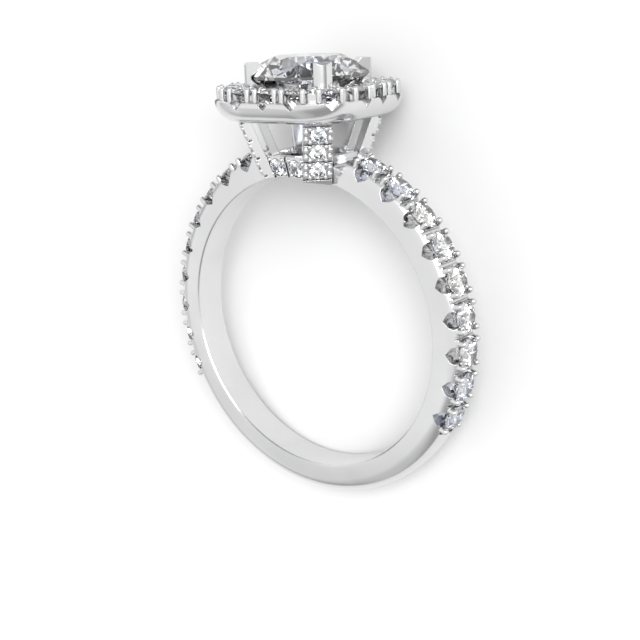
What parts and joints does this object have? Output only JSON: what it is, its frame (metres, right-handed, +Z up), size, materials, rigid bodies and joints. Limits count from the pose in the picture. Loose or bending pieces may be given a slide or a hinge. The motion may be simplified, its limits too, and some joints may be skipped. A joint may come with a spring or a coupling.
{
  "type": "halo ring",
  "caption": "Finger ring with a large round stone in four claws, a cushion-shaped halo, set legs on a square collar, and a band with set shoulders.",
  "frame": {"origin": "centre of the finger hole, halfway through the band's width; the ring lies on its side, as a loose ring rests on a table", "axes": "+Y from the finger hole to the large stone, along the ring's length; +Z up from the table; the finger hole's axis lies in the YZ plane, tilted from +Z because the halo is wider than the band"},
  "size_m": [0.0208, 0.0251, 0.0094],
  "materials": {
    "metal": "polished white precious metal",
    "large_stone": "faceted, colourless",
    "stone": "faceted, colourless"
  },
  "bodies": {
    "root": {"ring_mount": "metal", "centre_stone": "large_stone", "halo_stone_1": "stone", "halo_stone_2": "stone", "halo_stone_3": "stone", "halo_stone_4": "stone", "halo_stone_5": "stone", "halo_stone_6": "stone", "halo_stone_7": "stone", "halo_stone_8": "stone", "halo_stone_9": "stone", "halo_stone_10": "stone", "halo_stone_11": "stone", "halo_stone_12": "stone", "halo_stone_13": "stone", "halo_stone_14": "stone", "halo_stone_15": "stone", "halo_stone_16": "stone", "left_stone_1": "stone", "left_stone_2": "stone", "left_stone_3": "stone", "left_stone_4": "stone", "left_stone_5": "stone", "left_stone_6": "stone", "left_stone_7": "stone", "left_stone_8": "stone", "left_stone_9": "stone", "right_stone_1": "stone", "right_stone_2": "stone", "right_stone_3": "stone", "right_stone_4": "stone", "right_stone_5": "stone", "right_stone_6": "stone", "right_stone_7": "stone", "right_stone_8": "stone", "right_stone_9": "stone", "leg_stones_1": "stone", "leg_stones_2": "stone", "leg_stones_3": "stone", "leg_stones_4": "stone", "collar_stones_front": "stone", "collar_stones_back": "stone"}
  },
  "joints": []
}
